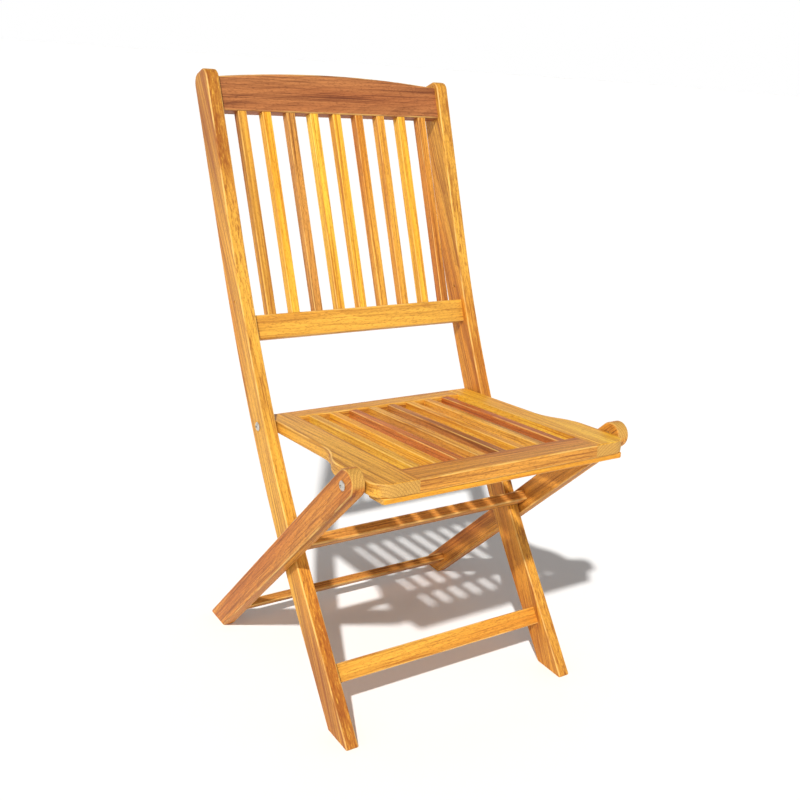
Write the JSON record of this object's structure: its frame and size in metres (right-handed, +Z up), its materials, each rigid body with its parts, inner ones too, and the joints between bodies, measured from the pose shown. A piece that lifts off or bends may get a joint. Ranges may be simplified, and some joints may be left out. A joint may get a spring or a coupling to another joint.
{
  "type": "folding garden dining chair",
  "caption": "Slatted wooden folding side chair: curved stiles with a slatted back, a slatted seat on pivot bolts, and a rear leg frame that folds under it.",
  "frame": {"origin": "centre of the footprint of the open chair, on the floor", "axes": "+Z up, -Y the way a sitter faces, +X across the seat"},
  "size_m": [0.4928, 0.5916, 0.9046],
  "materials": {
    "frame_wood": "oiled golden hardwood with straight grain, satin",
    "rail_wood": "oiled hardwood rails, amber to pinkish brown, satin",
    "slat_wood": "oiled hardwood slats of mixed tones, yellow to red-brown, satin",
    "steel": "zinc-plated steel, lightly brushed",
    "brass": "plain brass"
  },
  "bodies": {
    "back_frame": {"stile_left": "frame_wood", "stile_right": "frame_wood", "lower_back_rail": "rail_wood", "top_rail": "rail_wood", "front_stretcher": "rail_wood", "back_slat_1": "slat_wood", "back_slat_2": "slat_wood", "back_slat_3": "slat_wood", "back_slat_4": "slat_wood", "back_slat_5": "slat_wood", "back_slat_6": "slat_wood", "back_slat_7": "slat_wood", "back_slat_8": "slat_wood", "back_slat_9": "slat_wood"},
    "seat": {"seat_rail_left": "rail_wood", "seat_rail_right": "rail_wood", "seat_front_rail": "rail_wood", "seat_rear_rail": "rail_wood", "seat_cleat": "rail_wood", "seat_slat_1": "slat_wood", "seat_slat_2": "slat_wood", "seat_slat_3": "slat_wood", "seat_slat_4": "slat_wood", "seat_slat_5": "slat_wood", "seat_slat_6": "slat_wood", "seat_slat_7": "slat_wood", "seat_slat_8": "slat_wood", "cleat_screw_1": "steel", "cleat_screw_2": "steel", "cleat_screw_3": "steel", "cleat_screw_4": "steel", "cleat_screw_5": "steel", "rear_pivot_bolt_left": "steel", "rear_pivot_bolt_right": "steel", "rear_pivot_insert_left": "brass", "rear_pivot_insert_right": "brass", "rear_pivot_washer_left": "steel", "rear_pivot_washer_right": "steel", "front_pivot_bolt_left": "steel", "front_pivot_bolt_right": "steel", "front_pivot_insert_left": "brass", "front_pivot_insert_right": "brass", "front_pivot_washer_left": "steel", "front_pivot_washer_right": "steel"},
    "rear_leg_frame": {"rear_leg_left": "frame_wood", "rear_leg_right": "frame_wood", "stop_bar": "rail_wood", "rear_spreader": "rail_wood"}
  },
  "joints": [
    {"name": "seat_fold", "type": "hinge", "parent": "back_frame", "child": "seat", "pos_m": [0, 0.06241, 0.4061], "axis": [-1, 0, 0], "range_deg": [0, 96]},
    {"name": "leg_fold", "type": "hinge", "parent": "seat", "child": "rear_leg_frame", "pos_m": [0, -0.24627, 0.43465], "axis": [1, 0, 0], "range_deg": [0, 34.56]}
  ],
  "couplings": [
    {"joint": "leg_fold", "follows": "seat_fold", "ratio": 0.36}
  ]
}
